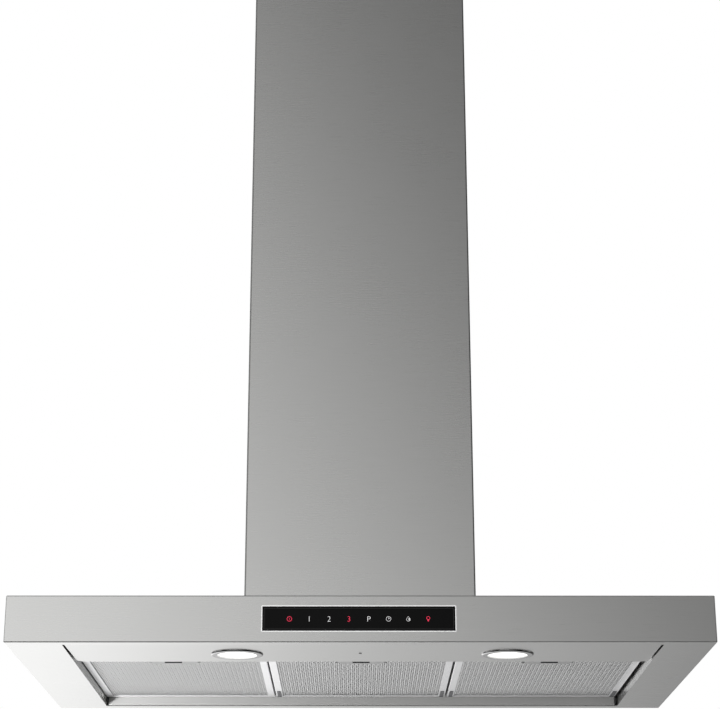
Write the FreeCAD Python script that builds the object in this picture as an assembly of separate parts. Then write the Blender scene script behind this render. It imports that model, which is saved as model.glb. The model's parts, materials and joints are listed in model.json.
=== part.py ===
import FreeCAD, Part
import math
import os

# Wall-mounted chimney range hood, in millimetres.
# X runs to the right, Y runs to the wall, Z runs up.
# The origin lies on the wall plane, at the centre of the canopy's back face.

V = FreeCAD.Vector
X_AXIS = V(1, 0, 0)
Y_AXIS = V(0, 1, 0)
Z_AXIS = V(0, 0, 1)

# Canopy: a folded steel box, open at the back and over the filter recess
CANOPY_WIDTH = 897
CANOPY_DEPTH = 500
CANOPY_HEIGHT = 60
SHEET = 1.0
FOLD_RADIUS = 1.5
LEFT_STRIP = 71.5
RIGHT_STRIP = 65
FRONT_FLANGE = 16
REAR_FLANGE = 18
SIDE_RETURN_HEIGHT = 26
FRONT_RETURN_HEIGHT = 6
HALF = CANOPY_WIDTH / 2
FRONT = -CANOPY_DEPTH
WALL = 0
BOTTOM = -29
TOP = BOTTOM + CANOPY_HEIGHT
RECESS_LEFT = -HALF + LEFT_STRIP
RECESS_RIGHT = HALF - RIGHT_STRIP
RECESS_X = (RECESS_LEFT + RECESS_RIGHT) / 2
RECESS_HALF = (RECESS_RIGHT - RECESS_LEFT) / 2
RECESS_FRONT = FRONT + FRONT_FLANGE
RECESS_BACK = WALL - REAR_FLANGE
WALL_SCREW_X = 310
WALL_SCREW_Z = 6
WALL_SCREW_HOLE = 4.25
BACK_RAIL_FOOT = 14
BACK_RAIL_LEFT_GAP = 3
BACK_RAIL_RIGHT_GAP = 4

# Touch controls in the front face
CONTROL_X = -2
CONTROL_Z = 1.2
GLASS_WIDTH = 243.5
GLASS_HEIGHT = 31.3
GLASS_THICKNESS = 4
GLASS_PROUD = 0.2
FRAME_PROUD = 0.5
FRAME_RIM = 1.2
KEY_COUNT = 8
KEY_PITCH = 25
BOARD_BACK = FRONT + 9.5
BOARD_THICKNESS = 1.6
TRAY_BACK = FRONT + 15.5
TRAY_FLOOR = 2

# Light panel: a shallow tray, tilted so that its rear edge stands higher
PANEL_FRONT_Z = BOTTOM + 0.5
PANEL_LENGTH = 130
PANEL_RISE = 2.5
PANEL_HALF = RECESS_HALF - 2
PANEL_WALL = 14
PANEL_POST_RADIUS = 4
PANEL_CORNER = 14
PANEL_CLEARANCE = 0.6
PANEL_TILT = math.degrees(math.asin(PANEL_RISE / PANEL_LENGTH))
LAMP_X = {"left": -159.9, "right": 191.0}
LAMP_DEPTH = 70
LAMP_RADIUS = 34
LENS_RADIUS = 26
BEZEL_PROUD = 2.2
BEZEL_ROUND = 2.1
LENS_RECESS = 1.5
SLEEVE_RADIUS = 31.5
SLEEVE_BORE = 30
CUP_DEPTH = 20
CUP_WALL = 1.5
DRIVER_LEFT = 25
DRIVER_FRONT = 45
DRIVER_LENGTH = 100
DRIVER_WIDTH = 40
DRIVER_HEIGHT = 22
PANEL_SCREW_DEPTH = 64

# Mesh filters, hung on tabs at the back and latched at the front
FILTER_X = {"left": -251, "middle": 1.25, "right": 254.25}
FILTER_WIDTH = 250
PADDED_FILTERS = ("middle", "right")
FILTER_FRONT = -351
FILTER_BACK = -25
FILTER_UNDERSIDE = BOTTOM + 12.4
FILTER_THICKNESS = 9
FILTER_BORDER = 10
FILTER_SHEET = 1.0
FILTER_CORNER = 2
FILTER_FOLD = 0.8
MESH_LAYER = 0.5
TAB_X = 80
TAB_WIDTH = 20
TAB_THICKNESS = 2
TAB_LIFT = 4.5
TAB_REACH = 12
HINGE_Y = -20
HINGE_Z = FILTER_UNDERSIDE + TAB_LIFT + TAB_THICKNESS / 2
LATCH_TRAVEL = 8
POCKET_HALF = 34
POCKET_BACK = -290
ESCUTCHEON_HALF = 32
ESCUTCHEON_BACK = -292
SLAB_HALF = 22
SLAB_FRONT = -340
SLAB_BACK = -307
SLAB_THICKNESS = 2
SLAB_GAP = 1.3
BOLT_HALF = 8
BOLT_REACH = 2
LIP_HALF = 11.5
LIP_THICKNESS = 1.6
LIP_FRONT = -321
LIP_DROP = 4.7
SPRING_RADIUS = 1.9
SPRING_WIRE = 0.25
SPRING_TURNS = 5
SPRING_X = 12
SPRING_STOP = -294
PAD_WIDTH = 5.5
PAD_LENGTH = 45
PAD_INSET = 2.5

# Motor box on the canopy, and the blower in it
BOX_HALF = 145
BOX_DEPTH = 230
BOX_HEIGHT = 328
BOX_FLANGE = 12
BOX_TOP = TOP + BOX_HEIGHT
EAR_HEIGHT = 30
EAR_HOLE_X = 100
AIR_HALF = 130
AIR_FRONT = -215
AIR_BACK = -15
FAN_Y = -104
FAN_Z = 150
WHEEL_RADIUS = 85
WHEEL_HALF = 56
BLADE_COUNT = 36
BLADE_DEPTH = 14
BLADE_THICKNESS = 1.2
BLADE_LEAN = 35
SCROLL_HALF = 70
SCROLL_WALL = 2
SCROLL_START = 93
SCROLL_GROWTH = 28
SCROLL_START_ANGLE = 66
SCROLL_END_ANGLE = -180
SCROLL_ARCS = 4
INLET_RADIUS = 62
MOTOR_RADIUS = 42
MOTOR_END = 74
SHAFT_RADIUS = 4
SHAFT_CLEARANCE = 0.05
BRACKET_SCREW_RADIUS = 69

# Outlet collar and its two damper flaps
DUCT_RADIUS = 75
DUCT_WALL = 1.5
DUCT_Y = -140
COLLAR_HEIGHT = 52
COLLAR_FLANGE = 2
COLLAR_SCREW_REACH = 83
COLLAR_SCREW_LENGTH = 10
PIN_Z = BOX_TOP + 26
PIN_RADIUS = 1.5
FLAP_RADIUS = 72.6
KNUCKLE_RADIUS = 3
KNUCKLE_CLEARANCE = 0.05
KNUCKLE_LENGTH = 30
KNUCKLE_GAP = 2

# Electronics in front of the motor box
CASE_HALF = 110
CASE_DEPTH = 36
CASE_LOW = 60
CASE_HIGH = 230
CASE_BACK = -BOX_DEPTH
CASE_FRONT = CASE_BACK - CASE_DEPTH
LEAD_Y = -248
LEAD_RADIUS = 2.5
LEAD_BEND = 24
CONTROL_LEAD_X = 40
LAMP_LEAD_X = 70
GLAND_X = -70
GLAND_BORE = 4

# Chimney: a lower section and an upper one that telescopes in it
CHIMNEY_HALF = 160
CHIMNEY_DEPTH = 280
CHIMNEY_TOP = BOTTOM + 1050
CHIMNEY_RETURN = 12
SECTION_GAP = 1
UPPER_LENGTH = 550
SLOT_COUNT = 6
BRACKET_HEIGHT = 22
BRACKET_Z = CHIMNEY_TOP - 32

# Pan-head screws
SCREW_RADIUS = 2
HEAD_RADIUS = 3.6
HEAD_HEIGHT = 2.4
CANOPY_SCREW_LENGTH = 9
BOX_SCREW_X = 139
CHIMNEY_SCREW_X = 153
CHIMNEY_SCREW_Y = -273
PANEL_HEAD_RADIUS = 1.9
PANEL_HEAD_HEIGHT = 0.6
PANEL_SHANK_RADIUS = 1.25
PANEL_SHANK_LENGTH = 9


def box(x_low, x_high, y_low, y_high, z_low, z_high):
    """Block between two corners."""
    return Part.makeBox(x_high - x_low, y_high - y_low, z_high - z_low, V(x_low, y_low, z_low))


def rod(radius, start, end):
    """Cylinder from one point to another."""
    run = end - start
    return Part.makeCylinder(radius, run.Length, start, run)


def tube(outer, inner, start, end):
    """Hollow cylinder from one point to another."""
    return rod(outer, start, end).cut(rod(inner, start, end))


def rounded(block, radius, chosen):
    """Round the straight edges whose middle point passes a test."""
    edges = [edge for edge in block.Edges if chosen(edge.CenterOfMass)]
    return block.makeFillet(radius, edges)


def join(*shapes):
    """Fuse shapes into one solid."""
    return shapes[0].multiFuse(list(shapes[1:])).removeSplitter()


def both_sides(shape):
    """A shape and its mirror image left of the middle."""
    return [shape, shape.mirror(V(0, 0, 0), X_AXIS)]


def screw(seat, direction, length):
    """Pan-head screw whose head sits on a point."""
    head = rod(HEAD_RADIUS, seat - direction * HEAD_HEIGHT, seat)
    return join(head, rod(SCREW_RADIUS, seat, seat + direction * length))


def save(node, *solids):
    """Write the solids of one node to its own file."""
    shape = solids[0] if len(solids) == 1 else Part.makeCompound(list(solids))
    count = len(shape.Solids)
    good = shape.isValid() and count >= 1
    print(node, count, "solids", round(shape.Volume / 1000, 2), "cm3", "ok" if good else "BAD")
    shape.exportStep("parts/" + node + ".step")


def tilted(shape):
    """Turn a shape drawn flat, with its front edge at zero, to the light panel's place."""
    placed = shape.copy()
    placed.rotate(V(0, 0, 0), X_AXIS, PANEL_TILT)
    placed.translate(V(0, RECESS_FRONT, PANEL_FRONT_Z))
    return placed


def canopy_screws():
    """Screws that reach up through the top plate into the motor box and the chimney."""
    seats = [(x, y) for x in (-BOX_SCREW_X, BOX_SCREW_X) for y in (-210, -115, -20)]
    seats += [(x, y) for x in (-CHIMNEY_SCREW_X, CHIMNEY_SCREW_X) for y in (-240, -60)]
    seats += [(x, CHIMNEY_SCREW_Y) for x in (-90, 90)]
    return [screw(V(x, y, TOP - SHEET), Z_AXIS, CANOPY_SCREW_LENGTH) for x, y in seats]


def collar_screws():
    """Four screws that clamp the collar, the box top and the scroll's flange."""
    reach = COLLAR_SCREW_REACH
    places = [(reach, 0), (-reach, 0), (0, reach), (0, -reach)]
    seat_z = BOX_TOP + COLLAR_FLANGE
    return [screw(V(x, DUCT_Y + y, seat_z), -Z_AXIS, COLLAR_SCREW_LENGTH) for x, y in places]


def bracket_places():
    """Where the motor bracket's three arms are screwed on, in the plane of the wheel."""
    angles = [math.radians(90 + 120 * step) for step in range(3)]
    reach = BRACKET_SCREW_RADIUS
    return [(FAN_Y + reach * math.cos(a), FAN_Z + reach * math.sin(a)) for a in angles]


def bracket_screws():
    """Three screws through the motor bracket, its grommets and the scroll's side."""
    return [screw(V(SCROLL_HALF + 6, y, z), -X_AXIS, 11) for y, z in bracket_places()]


def bored(shape, fasteners):
    """Cut the holes that the fasteners pass through."""
    return shape.cut(Part.makeCompound(fasteners))


def panel_screw():
    """Small screw in the middle of the light panel."""
    seat = V(0, PANEL_SCREW_DEPTH, 0)
    head = rod(PANEL_HEAD_RADIUS, seat - Z_AXIS * PANEL_HEAD_HEIGHT, seat)
    shank = rod(PANEL_SHANK_RADIUS, seat, seat + Z_AXIS * PANEL_SHANK_LENGTH)
    return tilted(join(head, shank))


def canopy_shell(fasteners):
    """Outer box with its bottom flanges, the recess returns and the panel's screw post."""
    outer = box(-HALF, HALF, FRONT, WALL, BOTTOM, TOP)

    def is_fold(middle):
        return middle.y < WALL - 1

    outer = rounded(outer, FOLD_RADIUS, is_fold)
    shell = outer.cut(box(-HALF + SHEET, HALF - SHEET, FRONT + SHEET, WALL, BOTTOM + SHEET, TOP - SHEET))
    shell = shell.cut(box(RECESS_LEFT, RECESS_RIGHT, RECESS_FRONT, RECESS_BACK, BOTTOM, BOTTOM + SHEET))
    shell = shell.cut(box(-AIR_HALF, AIR_HALF, AIR_FRONT, AIR_BACK, TOP - SHEET, TOP))
    window_x = GLASS_WIDTH / 2 + FRAME_RIM
    window_z = GLASS_HEIGHT / 2 + FRAME_RIM
    shell = shell.cut(box(CONTROL_X - window_x, CONTROL_X + window_x, FRONT, FRONT + SHEET,
                          CONTROL_Z - window_z, CONTROL_Z + window_z))
    sides = [box(x, x + SHEET, RECESS_FRONT, RECESS_BACK, BOTTOM, BOTTOM + SIDE_RETURN_HEIGHT)
             for x in (RECESS_LEFT - SHEET, RECESS_RIGHT)]
    front = box(RECESS_LEFT - SHEET, RECESS_RIGHT + SHEET, RECESS_FRONT - SHEET, RECESS_FRONT,
                BOTTOM, BOTTOM + FRONT_RETURN_HEIGHT)
    post_y = RECESS_FRONT + PANEL_SCREW_DEPTH
    post_foot = PANEL_FRONT_Z + PANEL_RISE + SHEET
    post = rod(PANEL_POST_RADIUS, V(0, post_y, post_foot), V(0, post_y, TOP - SHEET))
    shell = join(shell, front, post, *sides)
    leads = [rod(LEAD_RADIUS + 1, V(x, LEAD_Y, TOP - 2), V(x, LEAD_Y, TOP + 1))
             for x in (CONTROL_LEAD_X, LAMP_LEAD_X)]
    return bored(shell, fasteners + leads + [panel_screw()])


def canopy_back_panel():
    """Closing panel at the wall, with its two wall screw holes."""
    panel = box(-HALF + SHEET, HALF - SHEET, WALL - SHEET, WALL, BOTTOM + SHEET, TOP - SHEET)
    hole = rod(WALL_SCREW_HOLE, V(WALL_SCREW_X, -5, WALL_SCREW_Z), V(WALL_SCREW_X, 5, WALL_SCREW_Z))
    return bored(panel, both_sides(hole))


def rear_filter_rail():
    """Upright wall behind the filters, with a tall slot for each filter tab and a foot on the flange."""
    low = BOTTOM + SHEET
    high = BOTTOM + SIDE_RETURN_HEIGHT
    front = RECESS_BACK - SHEET
    block = box(RECESS_LEFT + BACK_RAIL_LEFT_GAP, RECESS_RIGHT - BACK_RAIL_RIGHT_GAP, front,
                front + BACK_RAIL_FOOT, low, high)

    def is_bottom_fold(middle):
        return abs(middle.y - front) < 0.1 and abs(middle.z - low) < 0.1

    block = rounded(block, FOLD_RADIUS, is_bottom_fold)
    hollow = box(RECESS_LEFT - 1, RECESS_RIGHT + 1, RECESS_BACK, RECESS_BACK + BACK_RAIL_FOOT,
                 low + SHEET, high - SHEET)
    half = TAB_WIDTH / 2 + 1
    slots = [box(x + side * TAB_X - half, x + side * TAB_X + half, front - 1, RECESS_BACK + SHEET,
                 HINGE_Z - 2, HINGE_Z + 4)
             for x in FILTER_X.values() for side in (-1, 1)]
    return bored(block.cut(hollow), slots)


def panel_block(inset, low, high):
    """Block in the light panel's outline, which has rounded rear corners."""
    half = PANEL_HALF - inset
    block = box(RECESS_X - half, RECESS_X + half, PANEL_CLEARANCE + inset, PANEL_LENGTH - inset, low, high)
    middle_z = (low + high) / 2

    def is_rear_corner(middle):
        return middle.y > PANEL_LENGTH - inset - 1 and abs(middle.z - middle_z) < 0.1

    return rounded(block, PANEL_CORNER - inset, is_rear_corner)


def light_panel():
    """Shallow tray with a wall all round and two lamp holes."""
    tray = panel_block(0, 0, PANEL_WALL).cut(panel_block(SHEET, SHEET, PANEL_WALL + 1))

    def is_rear_fold(middle):
        return abs(middle.z) < 0.01 and middle.y > PANEL_LENGTH - PANEL_CORNER

    tray = rounded(tray, FOLD_RADIUS / 2, is_rear_fold)
    holes = [rod(SLEEVE_RADIUS, V(x, LAMP_DEPTH, -1), V(x, LAMP_DEPTH, 2)) for x in LAMP_X.values()]
    return bored(tilted(bored(tray, holes)), [panel_screw()])


def lamp_bezel(x):
    """Ring under the panel with a sleeve through it."""
    def at(z):
        return V(x, LAMP_DEPTH, z)

    disc = rod(LAMP_RADIUS, at(-BEZEL_PROUD), at(0))

    def is_lower_rim(middle):
        return middle.z < -BEZEL_PROUD + 0.1

    disc = rounded(disc, BEZEL_ROUND, is_lower_rim)
    ring = disc.cut(rod(LENS_RADIUS, at(-BEZEL_PROUD - 1), at(1)))
    return tilted(join(ring, tube(SLEEVE_RADIUS, SLEEVE_BORE, at(-0.2), at(4))))


def lamp_lens(x):
    """Frosted disc held behind the bezel."""
    def at(z):
        return V(x, LAMP_DEPTH, z)

    face = LENS_RECESS - BEZEL_PROUD
    return tilted(join(rod(LENS_RADIUS, at(face), at(0)), rod(SLEEVE_BORE, at(0), at(2))))


def lamp_housing(x):
    """Closed cup behind the lens, with a collar on the bezel's sleeve."""
    def at(z):
        return V(x, LAMP_DEPTH, z)

    cup = rod(SLEEVE_BORE, at(2), at(2 + CUP_DEPTH))
    cup = cup.cut(rod(SLEEVE_BORE - CUP_WALL, at(2), at(2 + CUP_DEPTH - CUP_WALL)))
    collar = tube(LAMP_RADIUS + 1, SLEEVE_BORE - 1, at(4), at(4 + CUP_WALL))
    return tilted(join(cup, collar))


def lamp_driver():
    """Supply block of the two lamps, on the light panel."""
    case = box(DRIVER_LEFT, DRIVER_LEFT + DRIVER_LENGTH, DRIVER_FRONT, DRIVER_FRONT + DRIVER_WIDTH,
               SHEET, SHEET + DRIVER_HEIGHT)

    def is_upright(middle):
        return abs(middle.z - SHEET - DRIVER_HEIGHT / 2) < 0.1

    return tilted(rounded(case, 3, is_upright))


def control_plate(grow, y_low, y_high):
    """Plate parallel to the control glass and larger than it all round."""
    half_x = GLASS_WIDTH / 2 + grow
    half_z = GLASS_HEIGHT / 2 + grow
    return box(CONTROL_X - half_x, CONTROL_X + half_x, y_low, y_high,
               CONTROL_Z - half_z, CONTROL_Z + half_z)


def control_frame():
    """Bright rim round the glass, with a flange behind the front sheet."""
    rim = control_plate(FRAME_RIM, FRONT - FRAME_PROUD, FRONT + GLASS_THICKNESS)
    middle_y = FRONT + (GLASS_THICKNESS - FRAME_PROUD) / 2

    def is_corner(middle):
        return abs(middle.y - middle_y) < 0.1

    rim = rounded(rim, FRAME_RIM, is_corner)
    flange = control_plate(4, FRONT + SHEET, FRONT + 2 * SHEET)
    hole = control_plate(0, FRONT - 2, FRONT + 10)
    return join(rim, flange).cut(hole)


def control_glass():
    """Touch glass."""
    face = FRONT - GLASS_PROUD
    return control_plate(0, face, face + GLASS_THICKNESS)


def control_board():
    """Circuit board behind the glass."""
    return control_plate(-3, BOARD_BACK - BOARD_THICKNESS, BOARD_BACK)


def touch_contacts():
    """Sprung contact under each key."""
    first = CONTROL_X - KEY_PITCH * (KEY_COUNT - 1) / 2
    y_front = FRONT - GLASS_PROUD + GLASS_THICKNESS
    y_back = BOARD_BACK - BOARD_THICKNESS
    places = [first + KEY_PITCH * step for step in range(KEY_COUNT)]
    return [tube(3, 2, V(x, y_front, CONTROL_Z), V(x, y_back, CONTROL_Z)) for x in places]


def control_tray():
    """Plastic tray that holds the board behind the front sheet."""
    outer = control_plate(6.5, FRONT + SHEET, TRAY_BACK)
    tray = outer.cut(control_plate(4.5, FRONT + SHEET, TRAY_BACK - TRAY_FLOOR))
    places = [(CONTROL_X + x, CONTROL_Z + z) for x in (-100, 0, 100) for z in (-9, 9)]
    stands = [rod(2.5, V(x, BOARD_BACK, z), V(x, TRAY_BACK - 1, z)) for x, z in places]
    return join(tray, *stands)


def filter_frame(x):
    """Channel frame with two rear tabs and a slot for the latch bolt."""
    half = FILTER_WIDTH / 2
    low = FILTER_UNDERSIDE
    high = low + FILTER_THICKNESS
    outer = box(x - half, x + half, FILTER_FRONT, FILTER_BACK, low, high)

    def is_upright(middle):
        return abs(middle.z - (low + high) / 2) < 0.1

    def is_lower_fold(middle):
        return middle.z < low + 0.1

    outer = rounded(rounded(outer, FILTER_CORNER, is_upright), FILTER_FOLD, is_lower_fold)
    wall = FILTER_SHEET
    channel = box(x - half + wall, x + half - wall, FILTER_FRONT + wall, FILTER_BACK - wall,
                  low + wall, high - wall)
    rim = FILTER_BORDER
    window = box(x - half + rim, x + half - rim, FILTER_FRONT + rim, FILTER_BACK - rim, low - 1, high + 1)
    slit = BOLT_HALF + 0.5
    bolt = box(x - slit, x + slit, FILTER_FRONT - 1, FILTER_FRONT + 2, low + 1, low + 3.6)
    tabs = [box(x + side * TAB_X - TAB_WIDTH / 2, x + side * TAB_X + TAB_WIDTH / 2,
                FILTER_BACK - wall, FILTER_BACK + TAB_REACH, HINGE_Z - TAB_THICKNESS / 2,
                HINGE_Z + TAB_THICKNESS / 2) for side in (-1, 1)]
    return join(outer.cut(channel).cut(window).cut(bolt), *tabs)


def filter_mesh(x):
    """Three layers of expanded sheet, cut out round the latch."""
    half = FILTER_WIDTH / 2 - FILTER_SHEET - 0.25
    low = FILTER_UNDERSIDE + FILTER_SHEET
    high = low + FILTER_THICKNESS - 2 * FILTER_SHEET
    starts = [low, (low + high - MESH_LAYER) / 2, high - MESH_LAYER]
    pocket = box(x - POCKET_HALF, x + POCKET_HALF, FILTER_FRONT, POCKET_BACK, low - 1, high + 1)
    front = FILTER_FRONT + FILTER_SHEET + 0.25
    back = FILTER_BACK - FILTER_SHEET - 0.25
    return [box(x - half, x + half, front, back, z, z + MESH_LAYER).cut(pocket) for z in starts]


def filter_escutcheon(x):
    """Plate under the latch, with its slot, two guides and the springs' stop."""
    low = FILTER_UNDERSIDE - 1
    high = FILTER_UNDERSIDE
    plate = box(x - ESCUTCHEON_HALF, x + ESCUTCHEON_HALF, FILTER_FRONT + 1, ESCUTCHEON_BACK, low, high)

    def is_rear_corner(middle):
        return middle.y > ESCUTCHEON_BACK - 1 and abs(middle.x - x) > 20 and abs(middle.z - low - 0.5) < 0.1

    plate = rounded(plate, 14, is_rear_corner)
    slot_half = LIP_HALF + 0.6
    slot = box(x - slot_half, x + slot_half, LIP_FRONT - 1, LIP_FRONT + LIP_THICKNESS + LATCH_TRAVEL + 1,
               low - 1, high + 1)
    guide_x = SLAB_HALF + 1.5
    guides = [box(x + side * guide_x - 0.9, x + side * guide_x + 0.9, SLAB_FRONT, SPRING_STOP - 3,
                  high, high + 3) for side in (-1, 1)]
    stop = box(x - SLAB_HALF, x + SLAB_HALF, SPRING_STOP, SPRING_STOP + 1.5, high, high + 7)
    return join(plate.cut(slot), stop, *guides)


def filter_latch(x):
    """Sliding latch: bolt at the front, finger lip below, spring wall at the back."""
    low = FILTER_UNDERSIDE + SLAB_GAP
    high = low + SLAB_THICKNESS
    slab = box(x - SLAB_HALF, x + SLAB_HALF, SLAB_FRONT, SLAB_BACK, low, high)
    bolt = box(x - BOLT_HALF, x + BOLT_HALF, FILTER_FRONT - BOLT_REACH, SLAB_FRONT + 1, low, high)
    lip = box(x - LIP_HALF, x + LIP_HALF, LIP_FRONT, LIP_FRONT + LIP_THICKNESS,
              FILTER_UNDERSIDE - LIP_DROP, low + 1)
    wall = box(x - SLAB_HALF, x + SLAB_HALF, SLAB_BACK - 2, SLAB_BACK, low, low + 6)
    return join(slab, bolt, lip, wall)


def filter_springs(x):
    """Two coil springs that push the latch forwards."""
    start = SLAB_BACK
    length = SPRING_STOP - SLAB_BACK
    height = FILTER_UNDERSIDE + 5.4
    springs = []
    for side in (-1, 1):
        pitch = (length - 4 * SPRING_WIRE) / SPRING_TURNS
        path = Part.makeHelix(pitch, pitch * SPRING_TURNS, SPRING_RADIUS - SPRING_WIRE)
        circle = Part.Circle(V(SPRING_RADIUS - SPRING_WIRE, 0, 0), Y_AXIS, SPRING_WIRE)
        section = Part.Wire(circle.toShape())
        coil = Part.Wire(path).makePipeShell([section], True, False)
        coil.rotate(V(0, 0, 0), X_AXIS, -90)
        coil.translate(V(x + side * SPRING_X, start + 2 * SPRING_WIRE, height))
        springs.append(coil)
    return springs


def filter_pads(x):
    """Dark pads on the underside, in the rear corners."""
    reach = FILTER_WIDTH / 2 - PAD_INSET - PAD_WIDTH / 2
    low = FILTER_UNDERSIDE - 1
    back = FILTER_BACK - 4
    return [box(x + side * reach - PAD_WIDTH / 2, x + side * reach + PAD_WIDTH / 2,
                back - PAD_LENGTH, back, low, low + 1) for side in (-1, 1)]


def filter_keepers():
    """Spring clips on the light panel's rear wall, just under the latch bolts."""
    clips = []
    back = PANEL_LENGTH
    nose_top = FILTER_UNDERSIDE + SLAB_GAP - 0.5 - (PANEL_FRONT_Z + PANEL_RISE)
    for x in FILTER_X.values():
        plate = box(x - 12, x + 12, back, back + 0.5, 3, 13)
        nose = box(x - 9, x + 9, back, back + 1, nose_top - 1.3, nose_top)
        clips.append(tilted(join(plate, nose)))
    return clips


def motor_box(fasteners):
    """Sheet box over the air opening, with hanging ears on its back wall."""
    outer = box(-BOX_HALF, BOX_HALF, -BOX_DEPTH, WALL, TOP, BOX_TOP)
    inner = box(-BOX_HALF + SHEET, BOX_HALF - SHEET, -BOX_DEPTH + SHEET, WALL - SHEET,
                TOP + SHEET, BOX_TOP - SHEET)
    mouth = box(-BOX_HALF + BOX_FLANGE, BOX_HALF - BOX_FLANGE, -BOX_DEPTH + BOX_FLANGE, WALL - BOX_FLANGE,
                TOP - 1, TOP + 2)
    duct = rod(DUCT_RADIUS, V(0, DUCT_Y, BOX_TOP - 2), V(0, DUCT_Y, BOX_TOP + 1))
    ear = box(-BOX_HALF, BOX_HALF, WALL - SHEET, WALL, BOX_TOP - 5, BOX_TOP + EAR_HEIGHT)
    ear_z = BOX_TOP + EAR_HEIGHT / 2
    hole = rod(WALL_SCREW_HOLE, V(EAR_HOLE_X, -5, ear_z), V(EAR_HOLE_X, 5, ear_z))
    shape = join(outer.cut(inner).cut(mouth).cut(duct), ear)
    return bored(shape, fasteners + both_sides(hole))


def scroll_point(angle, inset):
    """Point on the scroll's spiral, whose radius grows with the angle swept."""
    swept = (SCROLL_START_ANGLE - angle) / (SCROLL_START_ANGLE - SCROLL_END_ANGLE)
    reach = SCROLL_START + SCROLL_GROWTH * swept - inset
    turn = math.radians(angle)
    return V(0, FAN_Y + reach * math.cos(turn), FAN_Z + reach * math.sin(turn))


def scroll_block(inset, half, top):
    """Block in the scroll's outline: a spiral round the wheel that ends in an upright throat."""
    step = (SCROLL_END_ANGLE - SCROLL_START_ANGLE) / SCROLL_ARCS
    edges = []
    for arc in range(SCROLL_ARCS):
        start = SCROLL_START_ANGLE + step * arc
        points = [scroll_point(start + step * part, inset) for part in (0, 0.5, 1)]
        edges.append(Part.Arc(*points).toShape())
    tongue = scroll_point(SCROLL_START_ANGLE, inset)
    bottom = scroll_point(SCROLL_END_ANGLE, inset)
    corners = [bottom, V(0, bottom.y, top), V(0, tongue.y, top), tongue]
    edges += [Part.makeLine(a, b) for a, b in zip(corners, corners[1:])]
    face = Part.Face(Part.Wire(edges))
    face.translate(V(-half, 0, 0))
    return face.extrude(X_AXIS * (2 * half))


def blower_housing(fasteners):
    """Scroll casing round the wheel, open on both sides and at the top."""
    top = BOX_TOP - SHEET
    outer = scroll_block(0, SCROLL_HALF, top)
    inner = scroll_block(SCROLL_WALL, SCROLL_HALF - SCROLL_WALL, top + 1)
    flange = box(-90, 90, -228, -52, top - 3, top)
    casing = join(outer, flange).cut(inner)
    hole = rod(INLET_RADIUS + 2, V(-SCROLL_HALF - 1, FAN_Y, FAN_Z), V(SCROLL_HALF + 1, FAN_Y, FAN_Z))
    return bored(casing.cut(hole), fasteners)


def inlet_rings(fasteners):
    """Bell mouths in both sides of the scroll."""
    def at(x):
        return V(x, FAN_Y, FAN_Z)

    sleeve = tube(INLET_RADIUS + 2, INLET_RADIUS, at(SCROLL_HALF - 8), at(SCROLL_HALF + 1))
    flange = tube(INLET_RADIUS + 14, INLET_RADIUS, at(SCROLL_HALF), at(SCROLL_HALF + 2))
    ring = join(sleeve, flange)
    return [bored(side, fasteners) for side in both_sides(ring)]


def fan_wheel():
    """Double squirrel-cage wheel: centre disc, hub, end rings and leaning blades."""
    def at(x):
        return V(x, FAN_Y, FAN_Z)

    inner = WHEEL_RADIUS - BLADE_DEPTH
    disc = rod(WHEEL_RADIUS, at(-2), at(0))
    hub = rod(14, at(-16), at(0))
    rings = [tube(WHEEL_RADIUS, inner, at(x), at(x + 2)) for x in (-WHEEL_HALF, WHEEL_HALF - 2)]
    blades = []
    middle = WHEEL_RADIUS - BLADE_DEPTH / 2
    for step in range(BLADE_COUNT):
        blade = box(-WHEEL_HALF + 1, WHEEL_HALF - 1, middle - 5.5, middle + 5.5,
                    -BLADE_THICKNESS / 2, BLADE_THICKNESS / 2)
        blade.rotate(V(0, middle, 0), X_AXIS, BLADE_LEAN)
        blade.rotate(V(0, 0, 0), X_AXIS, 360 / BLADE_COUNT * step)
        blade.translate(V(0, FAN_Y, FAN_Z))
        blades.append(blade)
    return join(disc, hub, *rings, *blades).cut(rod(SHAFT_RADIUS, at(-20), at(5)))


def motor_shaft():
    """Shaft from the hub through the motor."""
    return rod(SHAFT_RADIUS, V(-16, FAN_Y, FAN_Z), V(60, FAN_Y, FAN_Z))


def motor_body():
    """Motor inside the wheel's right half, bored for its shaft."""
    def at(x):
        return V(x, FAN_Y, FAN_Z)

    can = rod(MOTOR_RADIUS, at(12), at(68))
    nose = rod(14, at(6), at(12))
    tail = rod(20, at(68), at(MOTOR_END))
    return join(can, nose, tail).cut(rod(SHAFT_RADIUS + SHAFT_CLEARANCE, at(0), at(62)))


def motor_bracket(fasteners):
    """Plate on the motor's end with three arms to the scroll's side."""
    low = MOTOR_END
    high = MOTOR_END + 2
    plate = rod(30, V(low, FAN_Y, FAN_Z), V(high, FAN_Y, FAN_Z))
    arms = []
    for step in range(3):
        arm = box(low, high, 10, BRACKET_SCREW_RADIUS + 6, -7, 7)
        arm.rotate(V(0, 0, 0), X_AXIS, 90 + 120 * step)
        arm.translate(V(0, FAN_Y, FAN_Z))
        arms.append(arm)
    return bored(join(plate, *arms), fasteners)


def motor_grommets():
    """Rubber buffers between the bracket's arms and the inlet ring."""
    low = SCROLL_HALF + 2
    return [tube(5.5, SCREW_RADIUS, V(low, y, z), V(MOTOR_END, y, z)) for y, z in bracket_places()]


def capacitor():
    """Run capacitor on the box's left wall, with its clamp band."""
    x = -BOX_HALF + SHEET + 18.5
    can = rod(17, V(x, -45, 60), V(x, -45, 130))
    band = rod(18.5, V(x, -45, 88), V(x, -45, 102))
    return join(can, band)


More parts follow.
